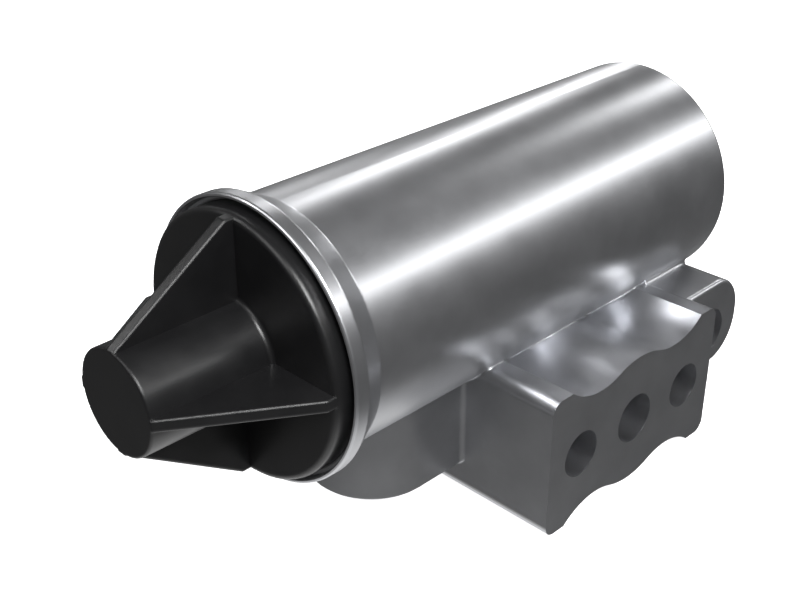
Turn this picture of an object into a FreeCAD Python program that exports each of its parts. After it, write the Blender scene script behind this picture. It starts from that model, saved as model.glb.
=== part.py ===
import FreeCAD
import Part
import math
import os

# Air compressor governor: a die-cast body with a ribbed plug-in cover, a port block below and a
# mounting ear at the closed end. A piston, lifted by reservoir air against a pressure-setting
# spring, works an inlet and exhaust valve. Millimetres. While it is drawn, the cylinder axis is the
# X axis, x = 0 lies at the back of the collar, and the ports open along Y. At the end everything
# is moved so that the base stands at z = 0 under the middle of the part.

V = FreeCAD.Vector
AX = V(1, 0, 0)

# Body: cylinder and collar
body_r = 22.2
body_len = 100.1
body_end_round = 0.9
collar_rise = 2.4
collar_front = 2.6
collar_cone_end = 4.6
collar_blend_r = 0.7
lip_wall = 0.7
lip_depth = 1.8
lip_round = 0.5
lip_inner_chamfer = 0.12
blend_r = 1.0

# Bores along the axis
seat_depth = 0.5
seat_step = 0.94
chamber_r = 18.5
chamber_len = 49.0
piston_bore_r = 9.5
piston_stop = 74.0
end_bore_r = 8.2
end_bore_len = 83.0
drill_point = 0.6

# Port block, its section seen from the port side
block_x = 59.3
block_half = 24.65
block_depth = 65.0
block_z = 28.4
lobe_h = 14.05
lobe_corner_r = 2.4
waist_h = 11.0
waist_r = 13.2
waist_x = 11.0
boss_h = 13.15

# Ports
port_pitch = 15.875
port_r = 4.5
port_mid_r = 4.9
port_depth = 12.0
drill_r = 2.6
passage_r = 2.0
tap_end = 7.8
filter_bore_r = 3.05
filter_seat_z = 21.8
spot_r = 7.2
spot_h = 10.0

# Foot under the spring chamber
foot_x = 23.7
foot_half = 12.25
foot_drop = 36.4
foot_root = 13.0
foot_edge_chamfer = 0.6

# Mounting ear
ear_step = 0.1
ear_reach = 0.9
ear_corner_r = 8.5
ear_h = 18.6
ear_len = 19.5
ear_face = 27.5
ear_hole_in = 10.3
ear_hole_z = 25.1
ear_hole_r = 5.1
ear_edge_round = 0.9
ear_blend_r = 0.8
mount_thread_r = 3.4
mount_thread_depth = 16.0

# Retaining ring and spring plate
ring_groove_x = 3.2
ring_t = 1.4
ring_groove_depth = 1.1
ring_width = 2.6
ring_gap = 9.0
ring_lug_r = 2.1
ring_hole_r = 0.9
ring_lug_in = 0.75
ring_clear = 0.1
plate_t = 3.5
plate_clear = 0.08
plate_boss_r = 10.0
plate_boss_h = 0.8

# Cover
cover_front = 27.8
cover_face = 5.2
cover_wall = 2.5
skirt_clear = 0.06
skirt_gap = 0.3
skirt_wall = 1.9
cover_round = 0.9
hub_front_r = 8.85
hub_base_r = 9.0
hub_base_round = 0.8
hub_bore_r = 5.5
hub_wall = 2.2
rib_t = 2.1
rib_tip = 0.35
rib_end_inset = 0.15
rib_end_h = 1.4

# Adjusting screw, lock nut and upper spring seat
screw_r = 4.0
thread_clear = 0.05
screw_out = 16.0
screw_end = 40.0
screw_flange_r = 7.0
screw_flange_t = 2.5
screw_slot_w = 1.6
screw_slot_h = 2.2
screw_chamfer = 0.8
nut_af = 13.0
nut_t = 5.0
seat_hex_af = 17.0
seat_hex_t = 5.5
seat_travel = 2.5
seat_r = 14.5
seat_t = 2.5
seat_chamfer = 0.4
seat_gap = 0.3
pilot_h = 3.0
pilot_chamfer = 0.8
pilot_clear = 0.3

# Springs
spring_wire = 3.0
spring_mean_r = 11.5
spring_turns = 5.0
stem_spring_wire = 0.7
stem_spring_mean_r = 4.3
stem_spring_turns = 3.5
valve_spring_wire = 0.5
valve_spring_mean_r = 3.0
valve_spring_turns = 3.0

# Piston
run_clear = 0.05
piston_top = 47.5
piston_chamfer = 0.4
stem_bore_len = 10.5
piston_room_r = 4.0
piston_room_end = 63.0
annulus_r = 8.0
annulus_start = 57.5
annulus_len = 7.5
cross_hole_r = 1.4
cross_hole_x = 60.5
inlet_bore_r = 3.0
seat_lip_w = 0.8
seat_lip_h = 0.5
valve_room_r = 5.5
valve_room_start = 65.2
oring_groove_depth = 1.35
oring_groove_w = 2.3
oring_w = 1.9
oring_corner = 0.42
oring_clear = 0.02
oring_top_x = 52.0
oring_low_x = 67.6
stem_oring_x = 52.2
stem_oring_depth = 1.3
lower_seat_t = 2.5
lower_seat_hole_r = 6.5

# Exhaust stem
stem_r = 3.0
stem_tip_r = 2.2
stem_tip_len = 5.5
stem_tip_cone = 0.8
stem_bore_r = 1.2
stem_head_r = 5.0
stem_head_t = 2.0
stem_slot_w = 1.2
stem_slot_h = 1.0
stem_gap = 0.5

# Valve
valve_r = 5.1
valve_len = 3.0
insert_r = 4.4
insert_t = 1.5
insert_proud = 0.3
valve_hub_r = 2.2
valve_hub_h = 0.6
retainer_x = 72.0
retainer_t = 1.2
retainer_hole_r = 1.6

# Filters
filter_t = 3.0
filter_clear = 0.05

# Derived places
plate_x = ring_groove_x + ring_t
flange_x = plate_x + plate_t
upper_seat_x = flange_x + screw_flange_t + seat_travel + seat_gap
upper_face_x = upper_seat_x + seat_hex_t + seat_t
lower_face_x = piston_top - lower_seat_t
collar_r = body_r + collar_rise
lip_r = collar_r - lip_wall
seat_bore_r = lip_r - seat_step
skirt_r = seat_bore_r - skirt_clear
skirt_end = seat_depth - skirt_gap
insert_face = valve_room_start + seat_lip_h
block_y = block_depth / 2
ear_top = lobe_h - block_z - ear_step
ear_end = body_len + ear_reach
ear_start = ear_end - ear_len
ear_hole_x = ear_end - ear_hole_in
ear_bend_x = ear_end - ear_corner_r
mid_x = (ear_end - cover_front) / 2
base_z = block_z + lobe_h


def cyl(r, x0, x1):
    """Cylinder on the main axis from x0 to x1."""
    return Part.makeCylinder(r, x1 - x0, V(x0, 0, 0), AX)


def turned(points):
    """Solid of revolution about the main axis from (x, r) points joined by straight lines."""
    wire = Part.makePolygon([V(x, 0, r) for x, r in points + points[:1]])
    return Part.Face(wire).revolve(V(0, 0, 0), AX, 360)


def round_off(x, r, size, toward):
    """Points (x, r) that take off an outer corner in three flats; toward is the way along the
    axis from the corner's end face into the solid."""
    c = size * (1 - math.cos(math.radians(60)))
    d = size * (1 - math.sin(math.radians(60)))
    return [(x, r - size), (x + toward * d, r - c), (x + toward * c, r - d),
            (x + toward * size, r)]


def tube(r_out, r_in, x0, x1):
    return cyl(r_out, x0, x1).cut(cyl(r_in, x0 - 1, x1 + 1))


def rings(shape, x, r_low=0.0, r_high=1000.0):
    """Round edges about the main axis that lie at x and have a radius within the limits."""
    found = []
    for e in shape.Edges:
        box = e.BoundBox
        if abs(box.XMin - x) > 0.01 or abs(box.XMax - x) > 0.01:
            continue
        span = e.LastParameter - e.FirstParameter
        radii = [math.hypot(p.y, p.z) for p in
                 (e.valueAt(e.FirstParameter + span * t) for t in (0.1, 0.37, 0.8))]
        if max(radii) - min(radii) < 0.001 and r_low <= radii[0] <= r_high:
            found.append(e)
    return found


def hexagon(af, x0, x1):
    """Hexagonal prism on the main axis, two flats level."""
    rad = af / math.sqrt(3)
    pts = [V(x0, rad * math.cos(math.radians(60 * i)), rad * math.sin(math.radians(60 * i)))
           for i in range(7)]
    return Part.Face(Part.makePolygon(pts)).extrude(V(x1 - x0, 0, 0))


def chamfered_hexagon(af, x0, x1, both):
    """Hexagonal prism whose corners are turned down at 30 degrees at its faces."""
    corner = af / math.sqrt(3)
    flat = af / 2
    drop = (corner - flat) * math.tan(math.radians(30)) * 1.15
    near = drop if both else 0
    reach = corner * 1.02
    low = flat * 0.97
    cone = turned([(x0, 0), (x0, low if both else reach), (x0 + near, reach),
                   (x1 - drop, reach), (x1, low), (x1, 0)])
    return hexagon(af, x0, x1).common(cone)


def helix_spring(mean_r, wire, x0, x1, turns):
    """Compression spring along the axis with its ends ground flat at x0 and x1. The wire is
    six-sided, as wide as the round wire it stands for."""
    length = x1 - x0
    pitch = length / turns
    path = Part.makeHelix(pitch, length, mean_r)
    half = wire / 2
    side = half / math.cos(math.radians(30))
    corners = [V(mean_r + side * math.cos(math.radians(a)), 0, side * math.sin(math.radians(a)))
               for a in range(30, 391, 60)]
    coil = Part.Wire(path.Edges).makePipeShell([Part.makePolygon(corners)], True, True)
    coil.rotate(V(0, 0, 0), V(0, 1, 0), 90)
    coil.translate(V(x0, 0, 0))
    keep = tube(mean_r + wire, mean_r - wire, x0, x1)
    return coil.common(keep)


def o_ring(r_in, r_out, x_mid):
    """Squeezed O-ring: a ring of flattened section with its four corners taken off."""
    c = oring_corner
    a = x_mid - oring_w / 2
    b = x_mid + oring_w / 2
    return turned([(a, r_in + c), (a, r_out - c), (a + c, r_out), (b - c, r_out), (b, r_out - c),
                   (b, r_in + c), (b - c, r_in), (a + c, r_in)])


def arc(a, b, c):
    return Part.Arc(a, b, c).toShape()


def block_section(y):
    """Port face outline: two end lobes, a round centre boss and two scooped waists, top and
    bottom alike. Built from tangent arcs in the plane of the given y."""
    k = waist_h + waist_r - boss_h
    boss_r = (k * k + waist_x * waist_x - waist_r * waist_r) / (2 * (waist_r - k))
    waist_c = waist_h + waist_r
    boss_c = boss_h - boss_r
    share = boss_r / (boss_r + waist_r)
    tx = waist_x * share
    tz = boss_c + (waist_c - boss_c) * share
    lobe_x = waist_x + math.sqrt(waist_r ** 2 - (waist_c - lobe_h) ** 2)
    cr = lobe_corner_r
    d = cr * (1 - math.sqrt(0.5))
    bx = block_half

    def p(x, z):
        return V(block_x + x, y, z - block_z)

    def waist_point(side, sign):
        return p(side * waist_x, sign * waist_h)

    edges = []
    for s in (1, -1):
        edges.append(arc(p(-s * bx, s * (lobe_h - cr)), p(-s * (bx - d), s * (lobe_h - d)),
                         p(-s * (bx - cr), s * lobe_h)))
        edges.append(Part.makeLine(p(-s * (bx - cr), s * lobe_h), p(-s * lobe_x, s * lobe_h)))
        edges.append(arc(p(-s * lobe_x, s * lobe_h), waist_point(-s, s), p(-s * tx, s * tz)))
        edges.append(arc(p(-s * tx, s * tz), p(0, s * boss_h), p(s * tx, s * tz)))
        edges.append(arc(p(s * tx, s * tz), waist_point(s, s), p(s * lobe_x, s * lobe_h)))
        edges.append(Part.makeLine(p(s * lobe_x, s * lobe_h), p(s * (bx - cr), s * lobe_h)))
        edges.append(arc(p(s * (bx - cr), s * lobe_h), p(s * (bx - d), s * (lobe_h - d)),
                         p(s * bx, s * (lobe_h - cr))))
        edges.append(Part.makeLine(p(s * bx, s * (lobe_h - cr)), p(s * bx, -s * (lobe_h - cr))))
    return Part.Face(Part.Wire(edges))


def outer_cylinder():
    """Cylinder with its stepped and coned collar, and a rounded rim at the closed end."""
    rim = round_off(-collar_front, collar_r, lip_round, 1)
    end = round_off(body_len, body_r, body_end_round, -1)
    solid = turned([(-collar_front, 0)] + rim + [(0, collar_r), (collar_cone_end, body_r)]
                   + end[::-1] + [(body_len, 0)])
    return solid.makeFillet(collar_blend_r, rings(solid, 0) + rings(solid, collar_cone_end))


def foot():
    """Pad with a full-round front, standing down from the cylinder as far as the block."""
    back = block_x - block_half + 1
    top = -foot_root
    a = V(back, -foot_half, -foot_drop)
    b = V(foot_x, -foot_half, -foot_drop)
    c = V(foot_x - foot_half, 0, -foot_drop)
    d = V(foot_x, foot_half, -foot_drop)
    e = V(back, foot_half, -foot_drop)
    wire = Part.Wire([Part.makeLine(a, b), arc(b, c, d), Part.makeLine(d, e), Part.makeLine(e, a)])
    pad = Part.Face(wire).extrude(V(0, 0, foot_drop + top))
    low = [s for s in pad.Edges if abs(s.BoundBox.ZMax + foot_drop) < 0.01
           and s.BoundBox.XMin < back - 0.01]
    return pad.makeChamfer(foot_edge_chamfer, low)


def ear():
    """Lug with two large rounded corners, from its bolt-head face back to the mounting face."""
    r = ear_corner_r
    d = r * (1 - math.sqrt(0.5))
    low = ear_top - ear_h

    def p(x, z):
        return V(x, -ear_face, z)

    wire = Part.Wire([
        Part.makeLine(p(ear_start, ear_top), p(ear_bend_x, ear_top)),
        arc(p(ear_bend_x, ear_top), p(ear_end - d, ear_top - d), p(ear_end, ear_top - r)),
        Part.makeLine(p(ear_end, ear_top - r), p(ear_end, low + r)),
        arc(p(ear_end, low + r), p(ear_end - d, low + d), p(ear_bend_x, low)),
        Part.makeLine(p(ear_bend_x, low), p(ear_start, low)),
        Part.makeLine(p(ear_start, low), p(ear_start, ear_top))])
    lug = Part.Face(wire).extrude(V(0, ear_face + block_y, 0))
    front = [s for s in lug.Edges if abs(s.BoundBox.YMax + ear_face) < 0.01
             and s.BoundBox.XMax > ear_start + 0.01]
    return lug.makeFillet(ear_edge_round, front)


def cylinder_and_ear():
    """The cylinder with the ear, and a concave blend where the ear's flat top meets it."""
    lump = outer_cylinder().fuse(ear()).removeSplitter()
    joins = []
    for e in lump.Edges:
        box = e.BoundBox
        level = abs(box.ZMin - ear_top) < 0.01 and abs(box.ZMax - ear_top) < 0.01
        middle = e.valueAt((e.FirstParameter + e.LastParameter) / 2)
        if level and abs(math.hypot(middle.y, middle.z) - body_r) < 0.02:
            joins.append(e)
    return lump.makeFillet(ear_blend_r, joins)


def casting():
    """The outside of the body as one lump, with small fillets where the foot meets the cylinder
    and the block."""
    block = block_section(-block_y).extrude(V(0, block_depth, 0))
    lump = cylinder_and_ear().fuse([block, foot()]).removeSplitter()
    joins = []
    for e in lump.Edges:
        box = e.BoundBox
        pts = [e.valueAt(e.FirstParameter + (e.LastParameter - e.FirstParameter) * t)
               for t in (0.1, 0.5, 0.9)]
        on_cylinder = all(abs(math.hypot(p.y, p.z) - body_r) < 0.02 for p in pts)
        at_foot = box.XMax < block_x - block_half + 0.01 and box.XMin > collar_cone_end
        if on_cylinder and box.XMax - box.XMin > 0.5 and at_foot:
            joins.append(e)
        upright = box.XMax - box.XMin < 0.01 and box.YMax - box.YMin < 0.01
        in_corner = abs(box.XMin - block_x + block_half) < 0.01
        if upright and in_corner and abs(abs(box.YMin) - foot_half) < 0.01:
            joins.append(e)
    return lump.makeFillet(blend_r, joins)


def y_port(x, r, side):
    """Tapped port from one side face: tapping hole, then a drilling on to the middle."""
    mouth = V(x, side * block_y, -block_z)
    inward = V(0, -side, 0)
    hole = Part.makeCylinder(r, port_depth, mouth, inward)
    return hole.fuse(Part.makeCylinder(drill_r, block_y, mouth, inward))


def z_port(x):
    """Port up from the base: spot face, tapping hole, filter bore and the passage to the bore."""
    face_z = -block_z - spot_h
    spot = Part.makeCylinder(spot_r, base_z + face_z + 5, V(x, 0, face_z), V(0, 0, -1))
    hole = Part.makeCylinder(port_r, tap_end, V(x, 0, face_z), V(0, 0, 1))
    pocket = Part.makeCylinder(filter_bore_r, -filter_seat_z - face_z, V(x, 0, face_z), V(0, 0, 1))
    way = Part.makeCylinder(passage_r, -face_z, V(x, 0, face_z), V(0, 0, 1))
    return spot.fuse([hole, pocket, way])


def body():
    solid = casting()
    groove_r = chamber_r + ring_groove_depth
    tools = [
        cyl(lip_r, -collar_front - 5, -collar_front + lip_depth),
        Part.makeCone(lip_r + lip_inner_chamfer, lip_r, lip_inner_chamfer,
                      V(-collar_front, 0, 0), AX),
        cyl(seat_bore_r, -collar_front - 5, seat_depth),
        cyl(chamber_r, -collar_front - 5, chamber_len),
        cyl(groove_r, ring_groove_x, ring_groove_x + ring_t + ring_clear),
        cyl(piston_bore_r, chamber_len - 1, piston_stop),
        cyl(end_bore_r, piston_stop - 1, end_bore_len),
    ]
    exhaust_x = block_x - port_pitch
    reservoir_x = block_x + port_pitch
    tools.append(y_port(exhaust_x, port_r, -1))
    tools.append(Part.makeCylinder(drill_r, block_z, V(exhaust_x, 0, -block_z), V(0, 0, 1)))
    for side in (-1, 1):
        tools.append(y_port(block_x, port_mid_r, side))
        tools.append(y_port(reservoir_x, port_r, side))
    tools.append(z_port(block_x))
    tools.append(z_port(reservoir_x))
    tools.append(Part.makeCylinder(ear_hole_r, 4 * block_y,
                                   V(ear_hole_x, -2 * block_y, -ear_hole_z), V(0, 1, 0)))
    tools.append(Part.makeCylinder(mount_thread_r, mount_thread_depth,
                                   V(exhaust_x, block_y, -block_z), V(0, -1, 0)))
    tools.append(Part.makeCone(mount_thread_r, 0, mount_thread_r * drill_point,
                               V(exhaust_x, block_y - mount_thread_depth, -block_z), V(0, -1, 0)))
    return solid.cut(tools)


def cover():
    """Moulded cover: a skirted disc with a hollow tapered hub and four tapering ribs."""
    rim = round_off(-cover_face, skirt_r, cover_round, 1)
    disc = turned([(-cover_face, 0)] + rim + [(skirt_end, skirt_r), (skirt_end, 0)])
    disc = disc.cut(cyl(skirt_r - skirt_wall, -cover_face + cover_wall, skirt_end + 1))
    hub = turned([(-cover_front, 0), (-cover_front, hub_front_r), (-cover_face, hub_base_r),
                  (-cover_face + 1, hub_base_r), (-cover_face + 1, 0)])
    hub = hub.makeFillet(rib_tip, rings(hub, -cover_front))
    end_r = skirt_r - rib_end_inset
    root = -cover_face + cover_round
    profile = Part.makePolygon([
        V(root, 0, 0), V(-cover_front, 0, 0), V(-cover_front, 0, hub_front_r),
        V(-cover_face - rib_end_h, 0, end_r), V(root, 0, end_r), V(root, 0, 0)])
    rib = Part.Face(profile).extrude(V(0, rib_t, 0))
    rib.translate(V(0, -rib_t / 2, 0))
    outline = [e for e in rib.Edges if e.BoundBox.ZMin > hub_front_r - 0.01
               and e.BoundBox.XMin < root - 0.01 and e.BoundBox.ZMax > end_r - 0.01]
    rib = rib.makeFillet(rib_tip, outline)
    ribs = []
    for i in range(4):
        one = rib.copy()
        one.rotate(V(0, 0, 0), AX, 90 * i)
        ribs.append(one)
    lower = disc.fuse(hub).removeSplitter()
    lower = lower.makeFillet(hub_base_round, rings(lower, -cover_face, 0, hub_base_r + 1))
    solid = lower.fuse(ribs).removeSplitter()
    return solid.cut(cyl(hub_bore_r, -cover_front + hub_wall, 0)).removeSplitter()


def retaining_ring():
    """Internal retaining ring with two drilled lugs at its gap."""
    r_out = chamber_r + ring_groove_depth - ring_clear
    x0 = ring_groove_x + ring_clear
    x1 = ring_groove_x + ring_t
    ring = tube(r_out, r_out - ring_width, x0, x1)
    slot = Part.makeBox(x1 - x0 + 2, ring_gap, r_out + 2, V(x0 - 1, -ring_gap / 2, 0))
    ring = ring.cut(slot)
    mid = r_out - ring_width - ring_lug_in
    lugs = []
    holes = []
    for side in (-1, 1):
        lean = (ring_gap / 2 + ring_lug_r) / mid
        y = side * mid * math.sin(lean)
        z = mid * math.cos(lean)
        lugs.append(Part.makeCylinder(ring_lug_r, x1 - x0, V(x0, y, z), AX))
        holes.append(Part.makeCylinder(ring_hole_r, x1 - x0 + 2, V(x0 - 1, y, z), AX))
    return ring.fuse(lugs).removeSplitter().cut(holes)


def spring_plate():
    """Turned plate that closes the spring chamber and carries the adjusting screw."""
    r = chamber_r - plate_clear
    disc = cyl(r, plate_x, plate_x + plate_t)
    boss = cyl(plate_boss_r, plate_x - plate_boss_h, plate_x + 0.5)
    return disc.fuse(boss).removeSplitter().cut(cyl(screw_r + thread_clear, -5, flange_x + 5))


def lock_nut():
    face = plate_x - plate_boss_h
    nut = chamfered_hexagon(nut_af, face - nut_t, face, True)
    return nut.cut(cyl(screw_r + thread_clear, -20, 20))


def adjusting_screw():
    """Screw with a driver slot outside, a thrust flange under the plate and a plain lower end."""
    out = -screw_out
    chamfer = screw_chamfer
    solid = turned([(out, 0), (out, screw_r - chamfer), (out + chamfer, screw_r),
                    (flange_x, screw_r), (flange_x, screw_flange_r),
                    (flange_x + screw_flange_t, screw_flange_r),
                    (flange_x + screw_flange_t, screw_r), (screw_end - chamfer, screw_r),
                    (screw_end, screw_r - chamfer), (screw_end, 0)])
    slot = Part.makeBox(screw_slot_h + 1, screw_slot_w, 4 * screw_r,
                        V(out - 1, -screw_slot_w / 2, -2 * screw_r))
    return solid.cut(slot)


def upper_spring_seat():
    """Hexagon and flange threaded on the adjusting screw, with a pilot inside the spring."""
    x0 = upper_seat_x
    x1 = x0 + seat_hex_t
    pilot_r = spring_mean_r - spring_wire / 2 - pilot_clear
    hexa = chamfered_hexagon(seat_hex_af, x0, x1 + 0.5, True)
    flange = cyl(seat_r, x1, upper_face_x)
    flange = flange.makeChamfer(seat_chamfer, rings(flange, x1) + rings(flange, upper_face_x))
    tip = upper_face_x + pilot_h
    pilot = turned([(x1, 0), (x1, pilot_r), (tip - pilot_chamfer, pilot_r),
                    (tip, pilot_r - pilot_chamfer), (tip, 0)])
    solid = hexa.fuse([flange, pilot]).removeSplitter()
    return solid.cut(cyl(screw_r + thread_clear, x0 - 5, tip + 5))


def pressure_spring():
    return helix_spring(spring_mean_r, spring_wire, upper_face_x, lower_face_x, spring_turns)


def lower_spring_seat():
    """Flanged ring on the piston crown, with a pilot inside the spring."""
    pilot_r = spring_mean_r - spring_wire / 2 - pilot_clear
    flange = cyl(seat_r, lower_face_x, piston_top)
    flange = flange.makeChamfer(seat_chamfer, rings(flange, lower_face_x) + rings(flange, piston_top))
    top = lower_face_x - pilot_h
    pilot = turned([(top, 0), (top, pilot_r - pilot_chamfer), (top + pilot_chamfer, pilot_r),
                    (piston_top - 1, pilot_r), (piston_top - 1, 0)])
    return flange.fuse(pilot).removeSplitter().cut(cyl(lower_seat_hole_r, top - 5, piston_top + 5))


def piston():
    r = piston_bore_r - run_clear
    c = piston_chamfer
    solid = turned([(piston_top, 0), (piston_top, r - c), (piston_top + c, r),
                    (piston_stop - c, r), (piston_stop, r - c), (piston_stop, 0)])
    lip_x = insert_face
    tools = [
        cyl(stem_r + run_clear, piston_top - 1, piston_top + stem_bore_len),
        cyl(piston_room_r, piston_top + stem_bore_len - 0.01, piston_room_end),
        cyl(inlet_bore_r, piston_room_end - 1, lip_x + 1),
        tube(valve_room_r, inlet_bore_r + seat_lip_w, valve_room_start, lip_x),
        cyl(valve_room_r, lip_x, piston_stop + 1),
        tube(r + 1, annulus_r, annulus_start, annulus_start + annulus_len),
    ]
    for x in (oring_top_x, oring_low_x):
        tools.append(tube(r + 1, piston_bore_r - oring_groove_depth, x, x + oring_groove_w))
    tools.append(cyl(stem_r + stem_oring_depth, stem_oring_x, stem_oring_x + oring_groove_w))
    for i in range(2):
        d = V(0, 1, 0) if i else V(0, 0, 1)
        start = V(cross_hole_x, 0, 0) - d * (r + 1)
        tools.append(Part.makeCylinder(cross_hole_r, 2 * r + 2, start, d))
    return solid.cut(tools)


def piston_o_ring(x):
    return o_ring(piston_bore_r - oring_groove_depth, piston_bore_r - oring_clear, x + oring_groove_w / 2)


def stem_o_ring():
    return o_ring(stem_r + oring_clear, stem_r + stem_oring_depth, stem_oring_x + oring_groove_w / 2)


def exhaust_stem():
    """Hollow stem: slotted head against the screw, sliding shank, slim tip above the valve."""
    head = screw_end
    tip_end = insert_face - stem_gap
    tip_start = tip_end - stem_tip_len
    solid = turned([(head, 0), (head, stem_head_r), (head + stem_head_t, stem_head_r),
                    (head + stem_head_t, stem_r), (tip_start, stem_r),
                    (tip_start + stem_tip_cone, stem_tip_r), (tip_end, stem_tip_r), (tip_end, 0)])
    solid = solid.cut(cyl(stem_bore_r, head - 1, tip_end + 1))
    slot = Part.makeBox(stem_slot_h + 1, stem_slot_w, 4 * stem_head_r,
                        V(head - 1, -stem_slot_w / 2, -2 * stem_head_r))
    return solid.cut(slot)


def stem_spring():
    return helix_spring(stem_spring_mean_r, stem_spring_wire, screw_end + stem_head_t, piston_top,
                        stem_spring_turns)


def valve_body():
    """Valve cup with a shallow pocket for the rubber face and a stub for its spring."""
    x0 = insert_face + insert_proud
    x1 = x0 + valve_len
    solid = turned([(x0, 0), (x0, valve_r), (x1, valve_r), (x1, valve_hub_r),
                    (x1 + valve_hub_h, valve_hub_r), (x1 + valve_hub_h, 0)])
    return solid.cut(cyl(insert_r, x0 - 1, insert_face + insert_t))


def valve_face():
    return cyl(insert_r, insert_face, insert_face + insert_t)


def valve_spring():
    x0 = insert_face + insert_proud + valve_len
    return helix_spring(valve_spring_mean_r, valve_spring_wire, x0, retainer_x, valve_spring_turns)


def valve_retainer():
    return tube(valve_room_r, retainer_hole_r, retainer_x, retainer_x + retainer_t)


def port_filter(x):
    """Sintered disc that seats on the shoulder above the port crossing."""
    return Part.makeCylinder(filter_bore_r - filter_clear, filter_t,
                             V(x, 0, -filter_seat_z - filter_t), V(0, 0, 1))


def build():
    return {
        "body": body(),
        "cover": cover(),
        "retaining_ring": retaining_ring(),
        "spring_plate": spring_plate(),
        "lock_nut": lock_nut(),
        "adjusting_screw": adjusting_screw(),
        "upper_spring_seat": upper_spring_seat(),
        "pressure_spring": pressure_spring(),
        "lower_spring_seat": lower_spring_seat(),
        "piston": piston(),
        "piston_o_ring_upper": piston_o_ring(oring_top_x),
        "piston_o_ring_lower": piston_o_ring(oring_low_x),
        "stem_o_ring": stem_o_ring(),
        "exhaust_stem": exhaust_stem(),
        "stem_spring": stem_spring(),
        "valve_body": valve_body(),
        "valve_face": valve_face(),
        "valve_spring": valve_spring(),
        "valve_retainer": valve_retainer(),
        "unloader_filter": port_filter(block_x),
        "reservoir_filter": port_filter(block_x + port_pitch),
    }


os.makedirs("parts", exist_ok=True)
for name, shape in build().items():
    shape.translate(V(-mid_x, 0, base_z))
    shape.exportStep("parts/" + name + ".step")
    box = shape.BoundBox
    print("%-22s %s solids %d  volume %8.1f  x %.2f..%.2f y %.2f..%.2f z %.2f..%.2f" % (
        name, shape.isValid(), len(shape.Solids), shape.Volume, box.XMin, box.XMax, box.YMin,
        box.YMax, box.ZMin, box.ZMax))
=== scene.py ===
import math

import bmesh
import bpy
from mathutils import Matrix, Vector


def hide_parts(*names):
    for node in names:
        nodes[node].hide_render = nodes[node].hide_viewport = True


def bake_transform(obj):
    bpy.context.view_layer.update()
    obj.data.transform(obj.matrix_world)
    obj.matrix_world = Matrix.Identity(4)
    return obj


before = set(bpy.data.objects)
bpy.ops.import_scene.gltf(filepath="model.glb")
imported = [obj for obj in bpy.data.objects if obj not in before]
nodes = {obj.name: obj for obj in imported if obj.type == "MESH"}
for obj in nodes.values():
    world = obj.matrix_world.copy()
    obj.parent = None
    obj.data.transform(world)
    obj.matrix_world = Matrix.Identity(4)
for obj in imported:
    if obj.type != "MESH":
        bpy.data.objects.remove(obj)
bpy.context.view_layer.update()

MM = 0.001

# The cylinder's axis runs along X at this height.
AXIS_Z = 42.45 * MM

# How far the light rolls over the moulded cover's outer corners and through the casting's inner
# ones, and the shares of open space about the surface that tell outer corners from inner ones.
MOULD_EDGE_R = 0.6 * MM
CAST_FILLET_R = 0.6 * MM
OPEN = 0.95
SHUT_IN = 0.75

# Where the pressure spring's wire is cut, how far about that place its facets are looked for, and
# how near to each other points are one point.
CUT_X = -3.4 * MM
CUT_REACH = 2.0 * MM
JOIN_DISTANCE = 0.001 * MM

# Light of the sky and the floor as the object reflects them, the glow from straight below, and
# the floor's own white. Heights are the Z of the direction that the light comes from.
SKY = 0.13
FLOOR_IN_REFLECTIONS = 0.113
HORIZON = 0.2
LIGHT_FROM_BELOW = 1.0
BELOW_STARTS = -0.64
BELOW_FULL = -0.88
FLOOR_GLOW = 0.9
FLOOR_HALF = 3.0
WHITE = (1, 1, 1, 1)

# Each lamp's name, middle, direction of its long side, length and width in metres, and radiance.
# The strips draw the long streaks on the cylinder; the lamps light its end, the cover's edges, the
# rim and the collar.
LAMPS = (
    ("side_strip", (0.72, -0.56, 0.50), (0.27, 0.21, -0.06), 1.1, 0.08, 8.5),
    ("far_strip", (0.67, 0.58, 0.48), (0.27, 0.01, -0.35), 0.56, 0.08, 7.5),
    ("low_strip", (0.50, 0.77, 0.32), (1, 0, -0.1), 0.25, 0.08, 3.5),
    ("end_lamp", (0.98, 0.16, 0.58), (0.14, 0, -0.11), 0.28, 0.12, 9.0),
    ("key_lamp", (-0.19, -0.62, 0.76), (1, -0.3, 0), 0.5, 0.36, 26.0),
    ("front_lamp", (-0.68, 0.12, 0.72), (0, 1, 0), 0.6, 0.5, 3.0),
    ("back_lamp", (-0.43, 0.62, 0.66), (1, 0.7, 0), 0.22, 0.14, 11.0),
)

# The camera's place and directions, as fitted to the edges and circles in the photograph.
CAMERA_PLACE = (-0.144052, -0.138115, 0.142748)
CAMERA_RIGHT = (0.706148167, -0.708063913, -0.000511686)
CAMERA_UP = (0.336756223, 0.335209224, 0.879903416)
CAMERA_BACK = (-0.622856334, -0.6215145, 0.475152308)
LENS = 56.5
SENSOR_WIDTH = 36.0

# The Mix node's sockets for vectors and for colours: A, B and the result.
VECTOR_A, VECTOR_B, VECTOR_MIX = 4, 5, 1
COLOUR_A, COLOUR_B, COLOUR_MIX = 6, 7, 2

# A Wave texture of scale 1 has its bands this far apart.
WAVE_SPACING = 0.314

# A noise texture lies mostly between these values.
NOISE_LOW = 0.3
NOISE_HIGH = 0.7


def linear(hex_colour):
    """sRGB hex to a linear RGBA tuple."""
    parts = [int(hex_colour[i:i + 2], 16) / 255 for i in (0, 2, 4)]
    return tuple(c / 12.92 if c <= 0.04045 else ((c + 0.055) / 1.055) ** 2.4
                 for c in parts) + (1.0,)


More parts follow.
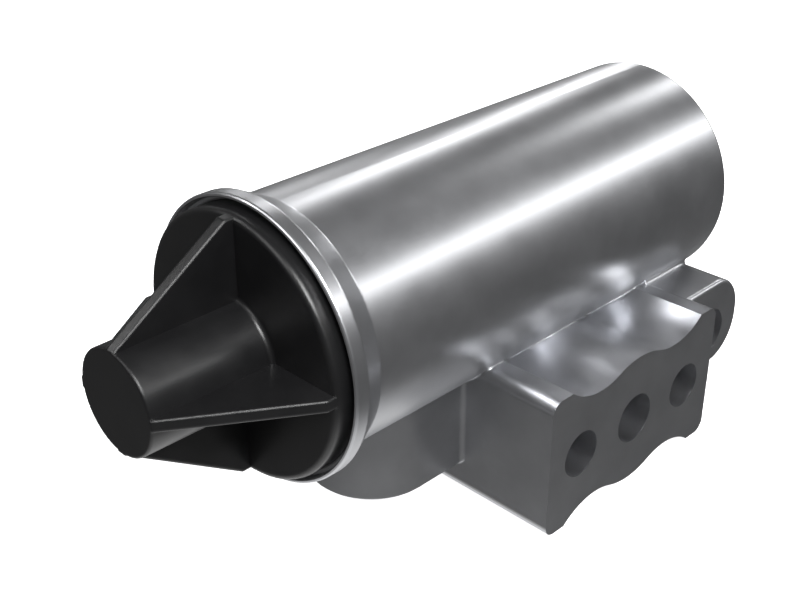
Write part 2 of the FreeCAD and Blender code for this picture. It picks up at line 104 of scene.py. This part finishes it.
def add(tree, kind, settings=None, links=None):
    """Adds a node. settings: property or input name to value; links: input name to socket."""
    node = tree.nodes.new(kind)
    for name, value in (settings or {}).items():
        if hasattr(node, name):
            setattr(node, name, value)
        else:
            node.inputs[name].default_value = value
    for name, socket in (links or {}).items():
        tree.links.new(socket, node.inputs[name])
    return node


def new_material(name):
    """Empty node material; returns it with its tree, its shader and Object coordinates."""
    mat = bpy.data.materials.new(name)
    mat.use_nodes = True
    tree = mat.node_tree
    tree.nodes.clear()
    out = add(tree, "ShaderNodeOutputMaterial")
    shader = add(tree, "ShaderNodeBsdfPrincipled")
    tree.links.new(shader.outputs["BSDF"], out.inputs["Surface"])
    place = add(tree, "ShaderNodeTexCoord").outputs["Object"]
    return mat, tree, shader, place


def rolled_corners(tree, radius, sharp_at, rolled_at):
    """Normal that rolls over corners within the radius where the share of open space about the
    surface is near rolled_at, and leaves those near sharp_at as they are."""
    rolled = add(tree, "ShaderNodeBevel", {"samples": 6, "Radius": radius})
    plain = add(tree, "ShaderNodeNewGeometry")
    room = add(tree, "ShaderNodeAmbientOcclusion", {"samples": 4, "only_local": True,
               "Distance": 3 * radius})
    share = add(tree, "ShaderNodeMapRange", {"From Min": sharp_at, "From Max": rolled_at},
                {"Value": room.outputs["AO"]})
    normal = add(tree, "ShaderNodeMix", {"data_type": "VECTOR"},
                 {"Factor": share.outputs["Result"]})
    tree.links.new(plain.outputs["Normal"], normal.inputs[VECTOR_A])
    tree.links.new(rolled.outputs["Normal"], normal.inputs[VECTOR_B])
    return normal.outputs[VECTOR_MIX]


def polished_die_cast_aluminium():
    """Die-cast aluminium, vibratory finished: satin grey, with faint cloudy differences in gloss
    and fine scratches in every direction that soften the reflections. The scratches are drawn
    0.45 mm apart, coarser than real ones, so that they show."""
    mat, tree, shader, place = new_material("polished_die_cast_aluminium")
    shader.inputs["Metallic"].default_value = 1.0
    cloud = add(tree, "ShaderNodeTexNoise", {"Scale": 1 / (9 * MM), "Detail": 4.0,
                "Roughness": 0.6}, {"Vector": place})
    tone = add(tree, "ShaderNodeMapRange", {"From Min": NOISE_LOW, "From Max": NOISE_HIGH},
               {"Value": cloud.outputs["Fac"]})
    colour = add(tree, "ShaderNodeMix", {"data_type": "RGBA"},
                 {"Factor": tone.outputs["Result"]})
    colour.inputs[COLOUR_A].default_value = linear("b8b9bc")
    colour.inputs[COLOUR_B].default_value = linear("c1c2c5")
    tree.links.new(colour.outputs[COLOUR_MIX], shader.inputs["Base Color"])
    grit = add(tree, "ShaderNodeTexNoise", {"Scale": 1 / (0.45 * MM), "Detail": 3.0,
               "Roughness": 0.7}, {"Vector": place})
    gloss = add(tree, "ShaderNodeMapRange", {"From Min": NOISE_LOW, "From Max": NOISE_HIGH,
                "To Min": 0.29, "To Max": 0.32}, {"Value": cloud.outputs["Fac"]})
    # The scratches dull the surface by up to 0.06 on top of the clouds.
    fine = add(tree, "ShaderNodeMath", {"operation": "MULTIPLY_ADD"},
               {"Value": grit.outputs["Fac"]})
    fine.inputs[1].default_value = 0.06
    tree.links.new(gloss.outputs["Result"], fine.inputs[2])
    tree.links.new(fine.outputs["Value"], shader.inputs["Roughness"])
    bump = add(tree, "ShaderNodeBump", {"Strength": 0.05, "Distance": 0.02 * MM},
               {"Height": grit.outputs["Fac"],
                "Normal": rolled_corners(tree, CAST_FILLET_R, OPEN, SHUT_IN)})
    tree.links.new(bump.outputs["Normal"], shader.inputs["Normal"])
    return mat


def moulded_black_nylon():
    """Glass-filled nylon, injection moulded: near black, soft sheen, a fine spark-eroded texture
    of 0.25 mm and slightly duller patches."""
    mat, tree, shader, place = new_material("moulded_black_nylon")
    cloud = add(tree, "ShaderNodeTexNoise", {"Scale": 1 / (6 * MM), "Detail": 3.0},
                {"Vector": place})
    colour = add(tree, "ShaderNodeMix", {"data_type": "RGBA"}, {"Factor": cloud.outputs["Fac"]})
    colour.inputs[COLOUR_A].default_value = linear("0f0f10")
    colour.inputs[COLOUR_B].default_value = linear("151516")
    tree.links.new(colour.outputs[COLOUR_MIX], shader.inputs["Base Color"])
    gloss = add(tree, "ShaderNodeMapRange", {"From Min": NOISE_LOW, "From Max": NOISE_HIGH,
                "To Min": 0.30, "To Max": 0.38}, {"Value": cloud.outputs["Fac"]})
    tree.links.new(gloss.outputs["Result"], shader.inputs["Roughness"])
    grain = add(tree, "ShaderNodeTexNoise", {"Scale": 1 / (0.25 * MM), "Detail": 2.0},
                {"Vector": place})
    bump = add(tree, "ShaderNodeBump", {"Strength": 0.12, "Distance": 0.03 * MM},
               {"Height": grain.outputs["Fac"],
                "Normal": rolled_corners(tree, MOULD_EDGE_R, SHUT_IN, OPEN)})
    tree.links.new(bump.outputs["Normal"], shader.inputs["Normal"])
    return mat


def turned_metal(name, low, high, rough_low, rough_high, pitch):
    """Metal turned on a lathe or drawn: fine rings about the X axis, as far apart as the pitch,
    that stretch the reflections."""
    mat, tree, shader, place = new_material(name)
    shader.inputs["Metallic"].default_value = 1.0
    centred = add(tree, "ShaderNodeMapping", {"Location": (0, 0, -AXIS_Z)}, {"Vector": place})
    rings = add(tree, "ShaderNodeTexWave", {"wave_type": "BANDS", "bands_direction": "X",
                "Scale": WAVE_SPACING / pitch, "Distortion": 1.5, "Detail": 2.0},
                {"Vector": centred.outputs["Vector"]})
    cloud = add(tree, "ShaderNodeTexNoise", {"Scale": 1 / (4 * MM), "Detail": 3.0},
                {"Vector": place})
    colour = add(tree, "ShaderNodeMix", {"data_type": "RGBA"}, {"Factor": cloud.outputs["Fac"]})
    colour.inputs[COLOUR_A].default_value = linear(low)
    colour.inputs[COLOUR_B].default_value = linear(high)
    tree.links.new(colour.outputs[COLOUR_MIX], shader.inputs["Base Color"])
    gloss = add(tree, "ShaderNodeMapRange", {"To Min": rough_low, "To Max": rough_high},
                {"Value": cloud.outputs["Fac"]})
    tree.links.new(gloss.outputs["Result"], shader.inputs["Roughness"])
    bump = add(tree, "ShaderNodeBump", {"Strength": 0.15, "Distance": 0.02 * MM},
               {"Height": rings.outputs["Fac"]})
    tree.links.new(bump.outputs["Normal"], shader.inputs["Normal"])
    return mat


def moulded_nitrile_rubber():
    """Nitrile rubber, press moulded: black and matt, greyer where it was handled."""
    mat, tree, shader, place = new_material("moulded_nitrile_rubber")
    cloud = add(tree, "ShaderNodeTexNoise", {"Scale": 1 / (3 * MM), "Detail": 3.0},
                {"Vector": place})
    colour = add(tree, "ShaderNodeMix", {"data_type": "RGBA"}, {"Factor": cloud.outputs["Fac"]})
    colour.inputs[COLOUR_A].default_value = linear("141414")
    colour.inputs[COLOUR_B].default_value = linear("1f1f1f")
    tree.links.new(colour.outputs[COLOUR_MIX], shader.inputs["Base Color"])
    gloss = add(tree, "ShaderNodeMapRange", {"To Min": 0.5, "To Max": 0.65},
                {"Value": cloud.outputs["Fac"]})
    tree.links.new(gloss.outputs["Result"], shader.inputs["Roughness"])
    return mat


def sintered_bronze():
    """Pressed and sintered bronze powder: brown-gold grains of 0.25 mm with dark pores."""
    mat, tree, shader, place = new_material("sintered_bronze")
    shader.inputs["Metallic"].default_value = 1.0
    shader.inputs["Roughness"].default_value = 0.55
    grains = add(tree, "ShaderNodeTexVoronoi", {"Scale": 1 / (0.25 * MM)}, {"Vector": place})
    colour = add(tree, "ShaderNodeMix", {"data_type": "RGBA"},
                 {"Factor": grains.outputs["Distance"]})
    colour.inputs[COLOUR_A].default_value = linear("b58a55")
    colour.inputs[COLOUR_B].default_value = linear("4a3420")
    tree.links.new(colour.outputs[COLOUR_MIX], shader.inputs["Base Color"])
    bump = add(tree, "ShaderNodeBump", {"Strength": 0.6, "Distance": 0.1 * MM, "invert": True},
               {"Height": grains.outputs["Distance"]})
    tree.links.new(bump.outputs["Normal"], shader.inputs["Normal"])
    return mat


cast = polished_die_cast_aluminium()
nylon = moulded_black_nylon()
spring_steel = turned_metal("drawn_spring_steel", "5c5c5e", "77777a", 0.30, 0.42, 0.3 * MM)
zinc_steel = turned_metal("zinc_plated_steel", "a9a9a6", "c0c0bc", 0.28, 0.38, 0.2 * MM)
brass = turned_metal("turned_brass", "b08d4c", "c9a766", 0.28, 0.38, 0.2 * MM)
turned_aluminium = turned_metal("turned_aluminium", "a6a7aa", "bcbdc0", 0.28, 0.38, 0.2 * MM)
rubber = moulded_nitrile_rubber()
bronze = sintered_bronze()

FINISHES = {
    "body": cast, "cover": nylon, "retaining_ring": spring_steel, "spring_plate": zinc_steel,
    "lock_nut": zinc_steel, "adjusting_screw": zinc_steel, "upper_spring_seat": zinc_steel,
    "pressure_spring": spring_steel, "lower_spring_seat": zinc_steel,
    "piston": turned_aluminium, "piston_o_ring_upper": rubber, "piston_o_ring_lower": rubber,
    "stem_o_ring": rubber, "exhaust_stem": brass, "stem_spring": spring_steel,
    "valve_body": brass, "valve_face": rubber, "valve_spring": spring_steel,
    "valve_retainer": brass, "unloader_filter": bronze, "reservoir_filter": bronze,
}
for name, finish in FINISHES.items():
    for one in nodes[name].material_slots:
        one.material = finish


def wound_wire(node):
    """The node's wire with its loose triangles joined to one closed, smooth skin."""
    bm = bmesh.new()
    bm.from_mesh(nodes[node].data)
    bmesh.ops.remove_doubles(bm, verts=bm.verts, dist=JOIN_DISTANCE)
    for face in bm.faces:
        face.smooth = True
    return bm


def cut_across(bm, cut_x):
    """Cuts the wire straight across where it passes over the axis at cut_x, and returns the
    length before the cut and the length after it, each closed with a flat end."""
    near = {f for f in bm.faces
            if abs(f.calc_center_median().x - cut_x) < CUT_REACH
            and abs(f.calc_center_median().y) < CUT_REACH
            and f.calc_center_median().z > AXIS_Z}
    geom = list(near | {e for f in near for e in f.edges} | {v for f in near for v in f.verts})
    cut = bmesh.ops.bisect_plane(bm, geom=geom, plane_co=(0, 0, 0), plane_no=(0, 1, 0))
    edges = [e for e in cut["geom_cut"] if isinstance(e, bmesh.types.BMEdge)]
    bmesh.ops.split_edges(bm, edges=edges)
    bmesh.ops.holes_fill(bm, edges=[e for e in bm.edges if e.is_boundary], sides=0)
    bm.verts.index_update()
    first = min(bm.verts, key=lambda v: v.co.x)
    before, reached = {first.index}, [first]
    while reached:
        for edge in reached.pop().link_edges:
            for vert in edge.verts:
                if vert.index not in before:
                    before.add(vert.index)
                    reached.append(vert)
    after = bm.copy()
    for part, keep in ((bm, True), (after, False)):
        gone = [v for v in part.verts if (v.index in before) != keep]
        bmesh.ops.delete(part, geom=gone, context="VERTS")
    return bm, after


def spring_length(bm, name, node):
    """A length of spring as its own object, in place of the node, which is hidden."""
    mesh = bpy.data.meshes.new(name)
    bm.to_mesh(mesh)
    bm.free()
    mesh.materials.append(spring_steel)
    piece = bpy.data.objects.new(name, mesh)
    bpy.context.collection.objects.link(piece)
    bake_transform(piece)
    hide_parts(node)


def springs():
    """The springs' wires, each as its own object. The pressure spring has a moving piece at both
    ends, so its wire is in two lengths that meet over the axis."""
    near_seat, near_piston = cut_across(wound_wire("pressure_spring"), CUT_X)
    spring_length(near_seat, "pressure_spring_seat_end", "pressure_spring")
    spring_length(near_piston, "pressure_spring_piston_end", "pressure_spring")
    spring_length(wound_wire("stem_spring"), "stem_spring_wire", "stem_spring")
    spring_length(wound_wire("valve_spring"), "valve_spring_wire", "valve_spring")


def lamp(name, middle, along, length, width, radiance):
    """Soft rectangular light that faces the object, with its long side along the direction."""
    data = bpy.data.lights.new(name, "AREA")
    data.shape = "RECTANGLE"
    data.size = length
    data.size_y = width
    data.energy = radiance * math.pi * length * width
    light = bpy.data.objects.new(name, data)
    x = Vector(along).normalized()
    back = Vector(middle) - Vector((0, 0, AXIS_Z))
    z = (back - back.dot(x) * x).normalized()
    turn = Matrix((x, z.cross(x), z)).transposed().to_4x4()
    light.matrix_world = Matrix.Translation(middle) @ turn
    bpy.context.collection.objects.link(light)


def floor():
    """Plain white floor. The object sees the background's dimmer white instead of it."""
    bm = bmesh.new()
    bmesh.ops.create_grid(bm, x_segments=1, y_segments=1, size=FLOOR_HALF)
    mesh = bpy.data.meshes.new("floor")
    bm.to_mesh(mesh)
    bm.free()
    sheet = bpy.data.objects.new("floor", mesh)
    bpy.context.collection.objects.link(sheet)
    mat = bpy.data.materials.new("matt_white_paper")
    mat.use_nodes = True
    tree = mat.node_tree
    tree.nodes.clear()
    out = add(tree, "ShaderNodeOutputMaterial")
    paper = add(tree, "ShaderNodeBsdfDiffuse", {"Color": linear("f8f8f8")})
    glow = add(tree, "ShaderNodeEmission", {"Color": WHITE, "Strength": FLOOR_GLOW})
    seen = add(tree, "ShaderNodeAddShader")
    tree.links.new(paper.outputs["BSDF"], seen.inputs[0])
    tree.links.new(glow.outputs["Emission"], seen.inputs[1])
    tree.links.new(seen.outputs["Shader"], out.inputs["Surface"])
    mesh.materials.append(mat)
    sheet.visible_glossy = False
    sheet.visible_diffuse = False
    sheet.visible_transmission = False
    sheet.visible_shadow = False


def background():
    """White as the camera sees it; in reflections a dim sky over a dimmer floor, with a glow
    from straight below that lights the lower edges."""
    world = bpy.data.worlds.new("studio")
    bpy.context.scene.world = world
    world.use_nodes = True
    tree = world.node_tree
    tree.nodes.clear()
    out = add(tree, "ShaderNodeOutputWorld")
    path = add(tree, "ShaderNodeLightPath")
    way = add(tree, "ShaderNodeTexCoord").outputs["Generated"]
    height = add(tree, "ShaderNodeSeparateXYZ", {}, {"Vector": way}).outputs["Z"]
    level = add(tree, "ShaderNodeMapRange", {"From Min": -HORIZON, "From Max": HORIZON,
                "To Min": FLOOR_IN_REFLECTIONS, "To Max": SKY}, {"Value": height})
    below = add(tree, "ShaderNodeMapRange", {"interpolation_type": "SMOOTHSTEP",
                "From Min": BELOW_STARTS, "From Max": BELOW_FULL, "To Max": LIGHT_FROM_BELOW},
                {"Value": height})
    both = add(tree, "ShaderNodeMath", {"operation": "ADD"})
    tree.links.new(level.outputs["Result"], both.inputs[0])
    tree.links.new(below.outputs["Result"], both.inputs[1])
    seen = add(tree, "ShaderNodeBackground", {"Color": WHITE, "Strength": 1.0})
    dim = add(tree, "ShaderNodeBackground", {"Color": WHITE},
              {"Strength": both.outputs["Value"]})
    mix = add(tree, "ShaderNodeMixShader", {}, {"Fac": path.outputs["Is Camera Ray"]})
    tree.links.new(dim.outputs["Background"], mix.inputs[1])
    tree.links.new(seen.outputs["Background"], mix.inputs[2])
    tree.links.new(mix.outputs["Shader"], out.inputs["Surface"])


def camera():
    """The camera at the photograph's viewing angle."""
    data = bpy.data.cameras.new("camera")
    data.lens = LENS
    data.sensor_width = SENSOR_WIDTH
    data.clip_start = 10 * MM
    cam = bpy.data.objects.new("camera", data)
    turn = Matrix((CAMERA_RIGHT, CAMERA_UP, CAMERA_BACK)).transposed().to_4x4()
    cam.matrix_world = Matrix.Translation(CAMERA_PLACE) @ turn
    bpy.context.collection.objects.link(cam)
    bpy.context.scene.camera = cam


springs()
floor()
background()
for values in LAMPS:
    lamp(*values)
camera()
bpy.context.scene.view_settings.view_transform = "Standard"
